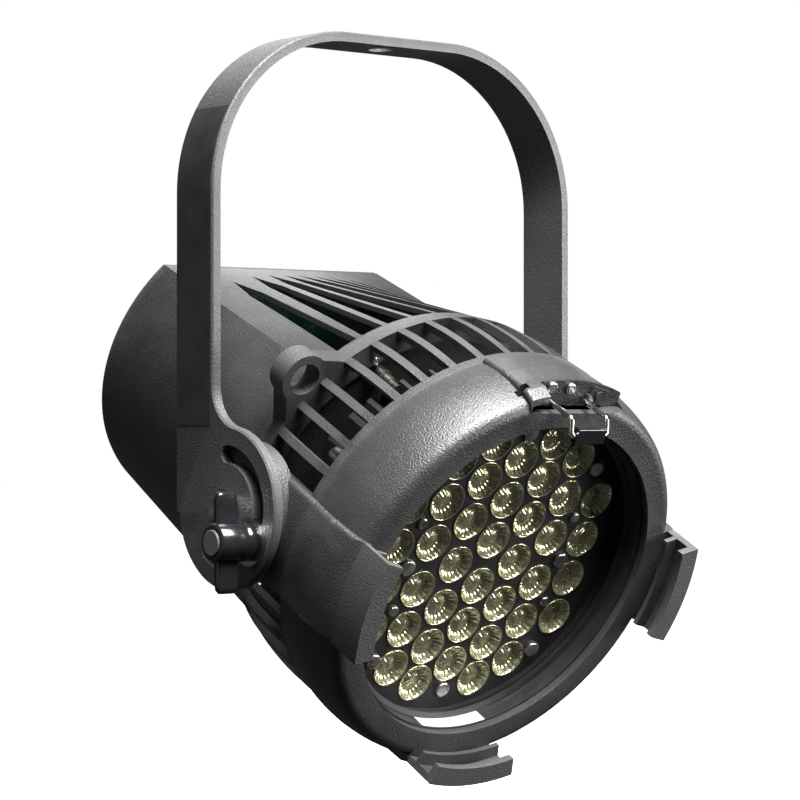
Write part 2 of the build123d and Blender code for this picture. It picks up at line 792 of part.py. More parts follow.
with BuildPart() as front_glass:
    glass_r = shroud_bore_r + shroud_step - gap
    drilled(head.offset(shroud_step_z), glass_r, glass_thick, (0, 0), mode=Mode.ADD)
save(front_glass, "front_glass")

with BuildPart() as glass_gasket:
    gasket_z = shroud_step_z + glass_thick
    turned(
        (glass_r, gasket_z), (glass_r, gasket_z + gasket_thick),
        (glass_r - gasket_width, gasket_z + gasket_thick / 2), (glass_r - gasket_width, gasket_z),
    )
save(glass_gasket, "glass_gasket")

with BuildPart() as shroud_label:
    label_out = shroud_bore_r + shroud_step
    turned(
        (label_out, gasket_z + gasket_thick + gap), (label_out, bell_face_z - bell_lip),
        (label_out - label_thick, bell_face_z - bell_lip),
        (label_out - label_thick, gasket_z + gasket_thick + gap),
        start=inner_label_angle - inner_label_arc / 2, arc=inner_label_arc,
    )
save(shroud_label, "shroud_label")

with BuildPart() as led_board:
    drilled(head.offset(seam_z), board_r, board_thick, (0, 0), mode=Mode.ADD)
save(led_board, "led_board")

with BuildPart() as led_emitters:
    with BuildSketch(head.offset(seam_z + board_thick)):
        with Locations(*cells):
            Rectangle(emitter_size, emitter_size)
    extrude(amount=emitter_thick)
save(led_emitters, "led_emitters")

# ---------------------------------------------------------------- heat sink, posts, bulkhead and fan
with BuildPart() as heat_sink:
    drilled(head.offset(seam_z), sink_r, -sink_base, (0, 0), mode=Mode.ADD)
    with BuildSketch(head.offset(fin_rear_z)) as fins:
        fin_count = 2 * int(fin_r / fin_pitch) - 1
        with GridLocations(fin_pitch, 0, fin_count, 1):
            Rectangle(fin_thick, 2 * fin_r)
        Circle(fin_r, mode=Mode.INTERSECT)
    extrude(fins.sketch, amount=seam_z - sink_base - fin_rear_z)
save(heat_sink, "heat_sink")

posts = [
    (post_dist * cos(radians(post_first + 45 * k)), post_dist * sin(radians(post_first + 45 * k)))
    for k in range(8)
]
with BuildPart() as bell_posts:
    drilled(head.offset(seam_z), post_r, -post_len, *posts, mode=Mode.ADD)
    fillet(bell_posts.edges().filter_by(GeomType.CIRCLE).group_by(beam)[0], radius=post_r / 2)
save(bell_posts, "bell_posts")

bulkhead_z = hoop_front_z - hoop_lip - bulkhead_thick
with BuildPart() as bulkhead:
    drilled(head.offset(bulkhead_z), hoop_bore_r - gap, bulkhead_thick, (0, 0), mode=Mode.ADD)
    drilled(head.offset(bulkhead_z), fan_bore_r, bulkhead_thick, (0, 0))
save(bulkhead, "bulkhead")

with BuildPart() as cage_screws:
    lip_mid = (hoop_lip_r + hoop_bore_r) / 2
    spots = [
        (lip_mid * cos(radians(gland_angle + 45 * k)), lip_mid * sin(radians(gland_angle + 45 * k)))
        for k in range(8)
    ]
    drilled(head.offset(hoop_front_z), bead_r, screw_head, *spots, mode=Mode.ADD)
    rims = cage_screws.edges().filter_by(GeomType.CIRCLE)
    fillet(rims.group_by(beam)[-1], radius=screw_head / 2)
save(cage_screws, "cage_screws")

with BuildPart() as wire_gland:
    spot = (gland_dist * cos(radians(gland_angle)), gland_dist * sin(radians(gland_angle)))
    base_z = bulkhead_z + bulkhead_thick
    for radius, length in gland_steps:
        drilled(head.offset(base_z), radius, length, spot, mode=Mode.ADD)
        base_z += length
save(wire_gland, "wire_gland")

fan_rear_z = bulkhead_z - fan_depth
with BuildPart() as fan_frame:
    with BuildSketch(head.offset(fan_rear_z)):
        RectangleRounded(fan_side, fan_side, fan_hub_r / 4)
        Circle(fan_bore_r, mode=Mode.SUBTRACT)
    extrude(amount=fan_depth)
    with BuildSketch(head.offset(fan_rear_z)):
        Circle(fan_hub_r)
        Rectangle(2 * fan_bore_r + run_fit, fan_strut)
        Rectangle(fan_strut, 2 * fan_bore_r + run_fit)
    extrude(amount=fan_strut / 2)
    drilled(head.offset(fan_rear_z), fan_pin_r, fan_depth - fan_strut, (0, 0), mode=Mode.ADD)
save(fan_frame, "fan_frame")

with BuildPart() as cooling_fan:
    rotor_z = fan_rear_z + fan_strut / 2 + gap
    rotor_len = fan_depth - fan_strut
    drilled(head.offset(rotor_z), fan_hub_r - gap, rotor_len, (0, 0), mode=Mode.ADD)
    for k in range(7):
        blade = half_plane(360 / 7 * k)
        slanted = Plane(
            origin=head.origin + head.z_dir * (rotor_z + rotor_len / 2), x_dir=blade.x_dir,
            z_dir=blade.z_dir + head.z_dir * tan(radians(fan_slant)),
        )
        with BuildSketch(slanted) as vane:
            with Locations(((fan_hub_r + fan_tip_r) / 2 - fan_blade, 0)):
                Rectangle(fan_tip_r - fan_hub_r + fan_blade, rotor_len - 2 * fan_blade)
        extrude(vane.sketch, amount=fan_blade / 2, both=True)
    drilled(head.offset(rotor_z), fan_pin_r + run_fit, rotor_len, (0, 0))
save(cooling_fan, "cooling_fan")

# ---------------------------------------------------------------- electronics
with BuildPart() as chassis_tray:
    with BuildSketch(head.offset(panel_face_z)):
        with Locations((0, tray_y - tray_thick / 2)):
            Rectangle(2 * tray_half, tray_thick)
    extrude(amount=bulkhead_z - panel_face_z)
save(chassis_tray, "chassis_tray")

with BuildPart() as power_supply:
    with BuildSketch(head.offset(supply_rear_z)):
        with Locations((0, tray_y + supply_size[1] / 2)):
            Rectangle(supply_size[0], supply_size[1])
    extrude(amount=supply_size[2])
save(power_supply, "power_supply")

with BuildPart() as control_board:
    with BuildSketch(head.offset(panel_face_z + spacer_len)):
        with Locations((0, control_y)):
            Rectangle(control_size[0], control_size[1])
    extrude(amount=control_thick)
save(control_board, "control_board")

with BuildPart() as board_spacers:
    with BuildSketch(head.offset(panel_face_z)):
        with Locations((0, control_y)):
            with GridLocations(control_size[0] - spacer_inset, control_size[1] - spacer_inset, 2, 2):
                Circle(spacer_r)
    extrude(amount=spacer_len)
save(board_spacers, "board_spacers")

# ---------------------------------------------------------------- rear panel
button_spots = [((k - 1.5) * button_pitch, button_y) for k in range(4)]
socket_spots = [((k - 1) * socket_pitch, socket_y) for k in range(3)]
back = head.offset(rear_z)

with BuildPart() as rear_panel:
    extrude(housing_section(rear_z, rear_r, rear_flat, 0, panel_inset), amount=panel_thick)
    drilled(back, button_r + run_fit, panel_thick, *button_spots)
    drilled(back, socket_hole_r + gap, panel_thick, *socket_spots)
    with BuildSketch(back):
        with Locations((0, intake_y)):
            with GridLocations(intake_pitch, 0, intake_count, 1):
                SlotOverall(intake_len, intake_width, rotation=90)
    extrude(amount=panel_thick, mode=Mode.SUBTRACT)
save(rear_panel, "rear_panel")

with BuildPart() as display_window:
    with BuildSketch(back):
        with Locations((0, display_y)):
            RectangleRounded(display_size[0], display_size[1], display_thick)
    extrude(amount=-display_thick)
save(display_window, "display_window")

buttons = []
for spot in button_spots:
    with BuildPart() as button:
        drilled(back.offset(-button_proud), button_r, button_proud + panel_thick, spot, mode=Mode.ADD)
        drilled(back.offset(panel_thick), button_flange_r, button_flange, spot, mode=Mode.ADD)
        crown = button.edges().filter_by(GeomType.CIRCLE).group_by(beam)[0]
        fillet(crown, radius=button_proud / 4)
    buttons.append(button)
for number, button in enumerate(buttons, start=1):
    save(button, "menu_button_" + str(number))


def socket(spot, bore):
    """Panel connector: a square flange outside and a barrel through the panel."""
    with BuildSketch(back) as flange:
        with Locations(spot):
            RectangleRounded(socket_flange, socket_flange, socket_corner)
    extrude(flange.sketch, amount=-socket_flange_thick)
    drilled(back, socket_hole_r, socket_depth, spot, mode=Mode.ADD)
    drilled(back.offset(-socket_flange_thick), bore, socket_flange_thick + socket_depth / 2, spot)
    with BuildSketch(back.offset(socket_depth / 2 - socket_flange_thick)) as contacts:
        with Locations(spot):
            with PolarLocations(bore / 2, 5):
                Circle(contact_r)
    extrude(contacts.sketch, amount=-socket_flange_thick - contact_r)


with BuildPart() as power_inlet:
    socket(socket_spots[0], socket_hole_r - inlet_wall)
save(power_inlet, "power_inlet")

with BuildPart() as data_connectors:
    for spot in socket_spots[1:]:
        socket(spot, socket_hole_r - data_wall)
save(data_connectors, "data_connectors")

with BuildPart() as rear_panel_screws:
    spots = [
        (panel_screw_dist * cos(radians(angle)), panel_screw_dist * sin(radians(angle)))
        for angle in panel_screw_angles
    ]
    drilled(back, screw_r, -screw_head, *spots, mode=Mode.ADD)
    rims = rear_panel_screws.edges().filter_by(GeomType.CIRCLE)
    fillet(rims.group_by(beam)[0], radius=screw_head / 2)
save(rear_panel_screws, "rear_panel_screws")
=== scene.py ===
import json
from math import copysign, cos, pi, radians, sin, tau

import bmesh
import bpy
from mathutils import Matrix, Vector


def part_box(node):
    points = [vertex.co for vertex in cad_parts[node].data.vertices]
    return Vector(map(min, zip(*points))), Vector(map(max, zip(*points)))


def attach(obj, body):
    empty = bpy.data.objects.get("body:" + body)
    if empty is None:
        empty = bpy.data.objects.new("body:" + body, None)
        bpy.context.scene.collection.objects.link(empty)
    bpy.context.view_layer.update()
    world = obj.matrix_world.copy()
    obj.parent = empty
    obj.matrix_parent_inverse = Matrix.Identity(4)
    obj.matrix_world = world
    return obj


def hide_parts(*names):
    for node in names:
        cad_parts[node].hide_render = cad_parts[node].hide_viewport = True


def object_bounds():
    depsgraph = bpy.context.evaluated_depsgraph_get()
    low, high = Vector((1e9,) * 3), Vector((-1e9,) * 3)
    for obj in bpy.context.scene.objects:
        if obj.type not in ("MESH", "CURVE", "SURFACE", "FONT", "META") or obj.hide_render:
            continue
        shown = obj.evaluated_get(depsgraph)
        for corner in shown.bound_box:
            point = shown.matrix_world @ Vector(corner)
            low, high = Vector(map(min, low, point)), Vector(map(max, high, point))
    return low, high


bl_info = {
    "name": "Par Can Wash Light",
    "version": (1, 0, 0),
    "blender": (4, 5, 0),
    "location": "3D View > Sidebar > Par Can",
    "description": "Dresses a yoke mounted wash light: castings, lens cells, lock knob, latch and stage",
    "category": "Add Mesh",
}

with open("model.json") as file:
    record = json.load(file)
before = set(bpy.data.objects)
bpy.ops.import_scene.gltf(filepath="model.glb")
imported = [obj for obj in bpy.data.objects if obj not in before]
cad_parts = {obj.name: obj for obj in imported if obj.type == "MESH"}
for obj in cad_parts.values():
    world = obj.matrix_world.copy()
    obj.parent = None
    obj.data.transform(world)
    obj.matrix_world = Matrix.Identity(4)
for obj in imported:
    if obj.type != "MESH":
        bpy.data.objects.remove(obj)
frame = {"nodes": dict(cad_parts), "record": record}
cad_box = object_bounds()

NODES = frame["nodes"]
JOINTS = {joint["name"]: joint for joint in frame["record"]["behaviour"]["joints"]}
PIVOT = Vector(JOINTS["head_tilt"]["pos_m"])
BEAM = Vector(JOINTS["fan_spin"]["axis"]).normalized()
ACROSS = Vector((1.0, 0.0, 0.0))
UP = BEAM.cross(ACROSS).normalized()


def head_point(x, y, z):
    """Point of the tilted head: across, up and along the beam, in metres from the tilt pivot."""
    return PIVOT + ACROSS * x + UP * y + BEAM * z


def in_head(point):
    """Across, up and along-beam distances of a point from the tilt pivot."""
    arm = Vector(point) - PIVOT
    return Vector((arm.dot(ACROSS), arm.dot(UP), arm.dot(BEAM)))


# ------------------------------------------------------------------ node helpers
class Shader:
    """A new material with its shader, and short calls for the nodes that feed it."""

    def __init__(self, name):
        self.material = bpy.data.materials.new(name)
        self.material.use_nodes = True
        self.tree = self.material.node_tree
        self.surface = self.tree.nodes["Principled BSDF"]
        self.place = self.node("ShaderNodeTexCoord").outputs["Object"]

    def node(self, kind, **values):
        """Adds a node and sets its own properties."""
        made = self.tree.nodes.new(kind)
        for key, value in values.items():
            setattr(made, key, value)
        return made

    def join(self, source, target):
        self.tree.links.new(source, target)

    def noise(self, scale, detail=3.0, rough=0.55, stretch=None):
        """A noise pattern fixed to the piece, which stretch can draw out along one axis."""
        made = self.node("ShaderNodeTexNoise")
        made.inputs["Scale"].default_value = scale
        made.inputs["Detail"].default_value = detail
        made.inputs["Roughness"].default_value = rough
        place = self.place
        if stretch:
            mapping = self.node("ShaderNodeMapping")
            mapping.inputs["Scale"].default_value = stretch
            self.join(place, mapping.inputs["Vector"])
            place = mapping.outputs["Vector"]
        self.join(place, made.inputs["Vector"])
        return made.outputs["Fac"]

    def spread(self, fac, low, high, start=0.3, end=0.7):
        """Maps a 0 to 1 pattern onto a range of values."""
        made = self.node("ShaderNodeMapRange")
        made.inputs["From Min"].default_value = start
        made.inputs["From Max"].default_value = end
        made.inputs["To Min"].default_value = low
        made.inputs["To Max"].default_value = high
        self.join(fac, made.inputs["Value"])
        return made.outputs["Result"]

    def blend(self, fac, one, two):
        """Mixes two colours by a pattern; each is a tuple or another node's output."""
        made = self.node("ShaderNodeMix", data_type="RGBA")
        self.join(fac, made.inputs["Factor"])
        for socket, colour in (("A", one), ("B", two)):
            slot = [i for i in made.inputs if i.name == socket and i.type == "RGBA"][0]
            if isinstance(colour, tuple):
                slot.default_value = (*colour, 1.0)
            else:
                self.join(colour, slot)
        return [o for o in made.outputs if o.type == "RGBA"][0]

    def rubbed_and_sheen_edges(self, start, end):
        """1 on the part's sharp convex edges and 0 elsewhere."""
        return self.spread(self.node("ShaderNodeNewGeometry").outputs["Pointiness"], 0.0, 1.0, start, end)

    def bump(self, height, depth, strength=1.0):
        """Raises the surface by a pattern, depth metres at most."""
        made = self.node("ShaderNodeBump")
        made.inputs["Strength"].default_value = strength
        made.inputs["Distance"].default_value = depth
        self.join(height, made.inputs["Height"])
        self.join(made.outputs["Normal"], self.surface.inputs["Normal"])

    def set(self, **values):
        """Gives the shader plain values, colours or other nodes' outputs."""
        for key, value in values.items():
            socket = self.surface.inputs[key.replace("_", " ")]
            if isinstance(value, bpy.types.NodeSocket):
                self.join(value, socket)
            elif isinstance(value, tuple):
                socket.default_value = (*value, 1.0)
            else:
                socket.default_value = value


def lighter(colour, factor, added):
    """The colour made paler, and never past white."""
    return tuple(min(1.0, c * factor + added) for c in colour)


def powder_coat(name, colour, grain=1100.0, depth=0.00035, rough=(0.3, 0.46), wear_and_sheen=0.35, gloss=0.45):
    """Textured powder coat: fine orange-peel grain, faint dust, and lighter convex edges that are partly
    rubbed wear and partly a painted highlight of their rounding.
    """
    s = Shader(name)
    fine = s.noise(grain, 2.0)
    patches = s.noise(38.0, 4.0)
    dusty = lighter(colour, 1.5, 0.001)
    rubbed_and_highlit = lighter(colour, 3.0, 0.015)
    base = s.blend(s.spread(patches, 0.0, 1.0), colour, dusty)
    # Painted highlight: convex edges are lightened, partly real rubbed wear and partly the sheen their
    # rounding would catch.
    edge = s.node("ShaderNodeMath", operation="MULTIPLY")
    s.join(s.rubbed_and_sheen_edges(0.54, 0.62), edge.inputs[0])
    edge.inputs[1].default_value = wear_and_sheen
    base = s.blend(edge.outputs[0], base, rubbed_and_highlit)
    s.set(Base_Color=base, Roughness=s.spread(fine, rough[0], rough[1]), Specular_IOR_Level=gloss)
    s.bump(fine, depth)
    return s.material


def moulded(name, colour, rough=(0.2, 0.3), grain=700.0, depth=0.00003, **more):
    """Moulded plastic or rubber with a slight skin texture and handling marks."""
    s = Shader(name)
    skin = s.noise(grain, 2.0)
    marks = s.noise(60.0, 5.0, 0.65)
    base = s.blend(s.spread(marks, 0.0, 1.0), colour, lighter(colour, 1.35, 0.002))
    s.set(Base_Color=base, Roughness=s.spread(marks, rough[0], rough[1]), **more)
    s.bump(skin, depth, 0.6)
    return s.material


def bare_metal(name, colour, rough=(0.2, 0.38), stretch=(40.0, 900.0, 900.0), depth=0.00002):
    """Plated or machined metal with fine tool lines and dull patches."""
    s = Shader(name)
    lines = s.noise(1.0, 3.0, 0.6, stretch)
    dull = s.noise(120.0, 4.0)
    dark = tuple(c * 0.72 for c in colour)
    base = s.blend(s.spread(dull, 0.0, 1.0), dark, colour)
    s.set(Base_Color=base, Metallic=1.0, Roughness=s.spread(dull, rough[0], rough[1]))
    s.bump(lines, depth, 0.5)
    return s.material


def reflector_gold(name, colour):
    """Olive gold metallised skin with slight streaks, and darker patches in its colour painted as the
    mottled reflections of the cells' facets.
    """
    s = Shader(name)
    streaks_and_painted_mottle = s.noise(420.0, 3.0)
    # Painted reflection: the base colour drops to half in patches, standing in for the dark and bright
    # glints of the cells' mottled facets.
    dark = tuple(c * 0.5 for c in colour)
    s.set(
        Base_Color=s.blend(s.spread(streaks_and_painted_mottle, 0.0, 1.0), dark, colour), Metallic=0.8,
        Roughness=s.spread(streaks_and_painted_mottle, 0.14, 0.28),
    )
    s.bump(streaks_and_painted_mottle, 0.00008, 0.5)
    return s.material


def clear_glass(name):
    """Coated cover glass: almost invisible, with the faintest haze."""
    s = Shader(name)
    haze = s.noise(30.0, 3.0)
    s.set(Base_Color=(0.02, 0.022, 0.022), Alpha=s.spread(haze, 0.03, 0.06))
    s.set(Roughness=s.spread(haze, 0.02, 0.05))
    return s.material


# ------------------------------------------------------------------ what a user may change
class ParCanFinish(bpy.types.PropertyGroup):
    """Colours and surface grain of the light."""

    coat: bpy.props.FloatVectorProperty(
        name="Powder Coat", description="Colour of the castings and the yoke", subtype="COLOR",
        size=3, min=0.0, max=1.0, default=(0.02, 0.02, 0.02),
    )
    gold: bpy.props.FloatVectorProperty(
        name="Lens Cells", description="Colour of the metallised cells", subtype="COLOR",
        size=3, min=0.0, max=1.0, default=(0.74, 0.71, 0.44),
    )
    grain: bpy.props.FloatProperty(
        name="Coat Grain", description="Bumps per metre in the powder coat", default=1100.0, min=50.0,
    )


class ParCanSizes(bpy.types.PropertyGroup):
    """Sizes of the pieces that are modelled here."""

    flutes: bpy.props.IntProperty(
        name="Cell Flutes", description="Flutes round each lens cell", default=20, min=6,
    )
    flute_depth: bpy.props.FloatProperty(
        name="Flute Depth", description="How far a flute stands out of its cell's wall",
        default=0.0003, unit="LENGTH",
    )


class ParCanStage(bpy.types.PropertyGroup):
    """Camera, lights and floor."""

    lens: bpy.props.FloatProperty(
        name="Lens", description="Focal length of the camera in millimetres", default=121.0, min=10.0,
    )
    key: bpy.props.FloatProperty(
        name="Key Light", description="Strength of the wide light from above", default=4.6, min=0.0,
    )
    softbox: bpy.props.FloatProperty(
        name="Softbox", description="Power of the box over the front of the light", default=125.0,
        subtype="POWER",
    )
    fill: bpy.props.FloatProperty(
        name="Fill Light", description="Power of each side light", default=1.6, subtype="POWER",
    )
    kicker: bpy.props.FloatProperty(
        name="Kicker", description="Power of the low light that picks out the cells", default=26.0,
        subtype="POWER",
    )
    ambient: bpy.props.FloatProperty(
        name="Ambient", description="Strength of the light from all round", default=0.05, min=0.0,
    )
    drop: bpy.props.FloatProperty(
        name="Floor Drop", description="Gap between the hanging light and the floor", default=0.08,
        unit="LENGTH",
    )


# ------------------------------------------------------------------ mesh helpers
def piece(name, mesh, material, body, replaced):
    """Adds a finished mesh to the scene, rides it on its body and hides the nodes it stands for."""
    mesh.name = name
    obj = bpy.data.objects.new(name, mesh)
    bpy.context.scene.collection.objects.link(obj)
    mesh.materials.append(material)
    for face in mesh.polygons:
        face.use_smooth = True
    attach(obj, body)
    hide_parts(*replaced)


def bridge(bm, loops):
    """Joins each closed loop of vertices to the next with a band of quads."""
    for one, two in zip(loops, loops[1:]):
        for k in range(len(one)):
            j = (k + 1) % len(one)
            bm.faces.new((one[k], one[j], two[j], two[k]))


def finished_mesh(bm, name):
    """Turns a closed shape's faces outwards and hands it over as a mesh."""
    bmesh.ops.recalc_face_normals(bm, faces=bm.faces)
    mesh = bpy.data.meshes.new(name)
    bm.to_mesh(mesh)
    bm.free()
    return mesh


def spots(node, reach):
    """Centres of a node's separate lumps that stand at least reach apart."""
    found = []
    for vertex in NODES[node].data.vertices:
        for group in found:
            if (group[0] - vertex.co).length < reach:
                group[1] += vertex.co
                group[2] += 1
                break
        else:
            found.append([vertex.co.copy(), vertex.co.copy(), 1])
    return [in_head(total / count) for _, total, count in found]


def dress(node, material):
    """Gives a carried-over node its finish."""
    for slot in NODES[node].material_slots:
        slot.material = material


# ------------------------------------------------------------------ operators
class PARCAN_OT_finish_castings(bpy.types.Operator):
    """Powder coat on the bell, cage, housing, clips, yoke and rear panel"""

    bl_idname = "parcan.finish_castings"
    bl_label = "Finish Castings"

    def execute(self, context):
        look = context.scene.parcan_finish
        colour = tuple(look.coat)
        coat = powder_coat("coat_casting", colour, look.grain)
        for node in ("front_bell", "vent_cage", "rear_housing", "rear_panel"):
            dress(node, coat)
        clips = powder_coat("coat_clip", colour, look.grain, rough=(0.5, 0.65))
        for side in ("right", "left", "bottom"):
            dress("accessory_clip_" + side, clips)
        yoke = powder_coat("coat_yoke", colour, look.grain, depth=0.0003, rough=(0.4, 0.6), wear_and_sheen=0.5)
        dress("yoke_bar", yoke)
        bracket = powder_coat("coat_bracket", (0.008, 0.008, 0.008), look.grain, rough=(0.3, 0.45))
        for node in ("latch_bracket", "latch_plate", "bulkhead"):
            dress(node, bracket)
        # The fins' near-black is partly their anodising and partly painted shade for the dark inside of
        # the vent cage.
        fins = powder_coat("fin_anodising_and_shade", (0.006, 0.006, 0.006), look.grain, rough=(0.5, 0.7))
        dress("heat_sink", fins)
        return {"FINISHED"}


class PARCAN_OT_finish_hardware(bpy.types.Operator):
    """Plated screws, posts, washers, bushes and the latch wire"""

    bl_idname = "parcan.finish_hardware"
    bl_label = "Finish Hardware"

    def execute(self, context):
        zinc = bare_metal("zinc_plate", (0.62, 0.6, 0.56))
        for node in ("pivot_bolts", "latch_screws", "plate_screws", "bell_posts", "cage_screws",
                     "rear_panel_screws", "lock_stud"):
            dress(node, zinc)
        bright = bare_metal("bright_plate", (0.86, 0.85, 0.82), rough=(0.1, 0.2))
        for node in ("knob_washers", "latch_bail"):
            dress(node, bright)
        dress("pivot_bushes", bare_metal("bearing_bronze", (0.45, 0.33, 0.18)))
        nickel = bare_metal("nickel_plate", (0.42, 0.41, 0.38))
        for node in ("wire_gland", "board_spacers"):
            dress(node, nickel)
        dress("chassis_tray", bare_metal("galvanised_sheet", (0.45, 0.46, 0.48), rough=(0.35, 0.55)))
        dress("power_supply", bare_metal("supply_case", (0.4, 0.4, 0.42), rough=(0.4, 0.6)))
        return {"FINISHED"}


class PARCAN_OT_finish_mouldings(bpy.types.Operator):
    """Plastic, rubber, film and circuit board finishes"""

    bl_idname = "parcan.finish_mouldings"
    bl_label = "Finish Mouldings"

    def execute(self, context):
        black = moulded("black_moulding", (0.008, 0.008, 0.008), rough=(0.35, 0.5))
        for node in ("light_shroud", "lens_plate", "fan_frame", "cooling_fan", "glass_gasket",
                     "friction_discs", "data_connectors"):
            dress(node, black)
        gloss = moulded("gloss_moulding", (0.006, 0.006, 0.007), rough=(0.12, 0.2))
        for node in ("latch_tab", "display_window"):
            dress(node, gloss)
        dress("knob_cap", moulded("matt_cap", (0.05, 0.05, 0.052), rough=(0.5, 0.6)))
        dress("yoke_label", moulded("dark_film", (0.016, 0.016, 0.018), rough=(0.3, 0.4)))
        dress("shroud_label", moulded("white_film", (0.3, 0.3, 0.29), rough=(0.4, 0.5)))
        dress("led_board", moulded("board_mask", (0.5, 0.5, 0.48)))
        # Painted shade: the board's green is darkened almost to black to stand for the shade inside the
        # rear housing.
        dress("control_board", moulded("board_green", (0.006, 0.03, 0.014)))
        dress("led_emitters", moulded("phosphor", (0.75, 0.6, 0.2)))
        dress("power_inlet", moulded("inlet_blue", (0.02, 0.07, 0.35)))
        keys = moulded("key_rubber", (0.1, 0.1, 0.11), rough=(0.5, 0.6))
        for number in range(1, 5):
            dress("menu_button_%d" % number, keys)
        dress("front_glass", clear_glass("cover_glass"))
        return {"FINISHED"}


# The knob's hub, from its outer face inwards: (distance in from the face, radius), in metres.
# A ring that is level with the cap comes first, and its radius follows the cap.
CAP_MARGIN = 0.0004
HUB_OUTLINE = (
    (0.0, 0.0078), (0.0003, 0.0086), (0.001, 0.009), (0.012, 0.009), (0.0150, 0.0088), (0.0156, 0.0084),
    (0.0162, 0.0092), (0.0180, 0.0093), (0.0184, 0.0087), (0.0199, 0.0087), (0.0200, 0.0085),
)
HUB_SIDES = 64
# The knob's wing: its half width and half thickness at the hub, how much each narrows to the tip,
# how far its middle stands in from the knob's face, and how far it leans in towards the hub.
WING_WIDE = 0.0063
WING_THICK = 0.0031
WING_TAPER = 0.0008
WING_MIDDLE = 0.0076
WING_LEAN = 0.0008
WING_SLABS = 16
WING_SIDES = 32
# What is left of the width and the thickness at the very tip.
TIP_WIDE = 0.72
TIP_THICK = 0.45


class PARCAN_OT_lock_knob(bpy.types.Operator):
    """Rounded wing, hub and collar of the lock knob"""

    bl_idname = "parcan.lock_knob"
    bl_label = "Lock Knob"

    def execute(self, context):
        low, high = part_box("lock_knob")
        cap_low, cap_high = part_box("knob_cap")
        axis = (cap_low + cap_high) / 2
        cap_r = (cap_high.z - cap_low.z) / 2
        half = (high.z - low.z) / 2
        bm = bmesh.new()
        outline = ((0.0, cap_r + CAP_MARGIN),) + HUB_OUTLINE
        hub = [hub_ring(bm, axis, low.x + inward, radius) for inward, radius in outline]
        wing = [
            wing_ring(bm, axis, low.x, half, step / WING_SLABS)
            for step in range(-WING_SLABS, WING_SLABS + 1)
        ]
        for loops in (hub, wing):
            bridge(bm, loops)
            bm.faces.new(list(reversed(loops[0])))
            bm.faces.new(loops[-1])
        gloss = moulded("knob_gloss", (0.006, 0.006, 0.007), rough=(0.14, 0.24))
        piece("wing_knob", finished_mesh(bm, "wing_knob"), gloss, "knob", ("lock_knob",))
        return {"FINISHED"}


def hub_ring(bm, axis, x, radius):
    """One circle of the hub, square to the knob's own axis."""
    turns = [tau * k / HUB_SIDES for k in range(HUB_SIDES)]
    return [bm.verts.new((x, axis.y + radius * cos(a), axis.z + radius * sin(a))) for a in turns]


def wing_ring(bm, axis, face_x, half, along):
    """One level section of the wing, from -1 at its lower tip to 1 at its upper tip."""
    near = abs(along)
    tip = max(0.0, 1.0 - near ** 12) ** 0.5
    middle = face_x + WING_MIDDLE + WING_LEAN * (1.0 - near)
    wide = (WING_WIDE - WING_TAPER * near ** 2) * (TIP_WIDE + (1.0 - TIP_WIDE) * tip)
    thick = (WING_THICK - WING_TAPER * near) * (TIP_THICK + (1.0 - TIP_THICK) * tip)
    loop = []
    for step in range(WING_SIDES):
        turn = tau * step / WING_SIDES
        x = middle + wide * squared(cos(turn))
        y = axis.y + thick * squared(sin(turn))
        loop.append(bm.verts.new((x, y, axis.z + half * along)))
    return loop


def squared(wave):
    """Swells a sine or cosine, so that a circle turns into a rounded rectangle."""
    return copysign(abs(wave) ** 0.5, wave)


# Each ring of a cell, from its skirt to its middle: share of the radius, fall below the rim in metres,
# and how strongly the flutes and the pillowed middle show there.
CELL_RINGS = (
    (0.95, 0.0040, 0.0, 0.0), (0.97, 0.0006, 0.0, 0.0), (1.0, 0.0005, 0.0, 0.0), (1.0, 0.0001, 0.0, 0.0),
    (0.975, 0.0, 0.0, 0.0), (0.945, 0.0001, 0.0, 0.0), (0.93, 0.0006, 0.3, 0.0), (0.87, 0.0013, 1.0, 0.0),
    (0.80, 0.0021, 1.0, 0.0), (0.72, 0.0029, 0.9, 0.1), (0.64, 0.0034, 0.6, 0.5), (0.55, 0.0037, 0.2, 0.9),
    (0.46, 0.0036, 0.0, 1.0), (0.37, 0.0033, 0.0, 1.0), (0.28, 0.0030, 0.0, 1.0), (0.19, 0.0028, 0.0, 0.8),
    (0.10, 0.0027, 0.0, 0.5),
)
CELL_RADIUS = 0.00985
# Waves of the pillowed middle, in radians per metre
PILLOW = 2600.0
# Emitters nearer to each other than this, in metres, are one lump
EMITTER_REACH = 0.006
STEPS_PER_FLUTE = 6
# Share of a turn between one cell's flutes and the next one's, so that no two cells match
GOLDEN_TURN = 0.381966


class PARCAN_OT_lens_cells(bpy.types.Operator):
    """Forty fluted reflector cells with bright rims"""

    bl_idname = "parcan.lens_cells"
    bl_label = "Lens Cells"

    def execute(self, context):
        sizes = context.scene.parcan_sizes
        gold = reflector_gold("cell_gold", tuple(context.scene.parcan_finish.gold))
        top = max(in_head(vertex.co).z for vertex in NODES["lens_cups"].data.vertices)
        bm = bmesh.new()
        for number, cell in enumerate(spots("led_emitters", EMITTER_REACH)):
            turned = tau * (number * GOLDEN_TURN % 1.0)
            loops = [cell_ring(bm, cell, top, turned, sizes, *row) for row in CELL_RINGS]
            bridge(bm, loops)
            bm.faces.new(list(reversed(loops[-1])))
        piece("lens_cells", finished_mesh(bm, "lens_cells"), gold, "head", ("lens_cups",))
        return {"FINISHED"}


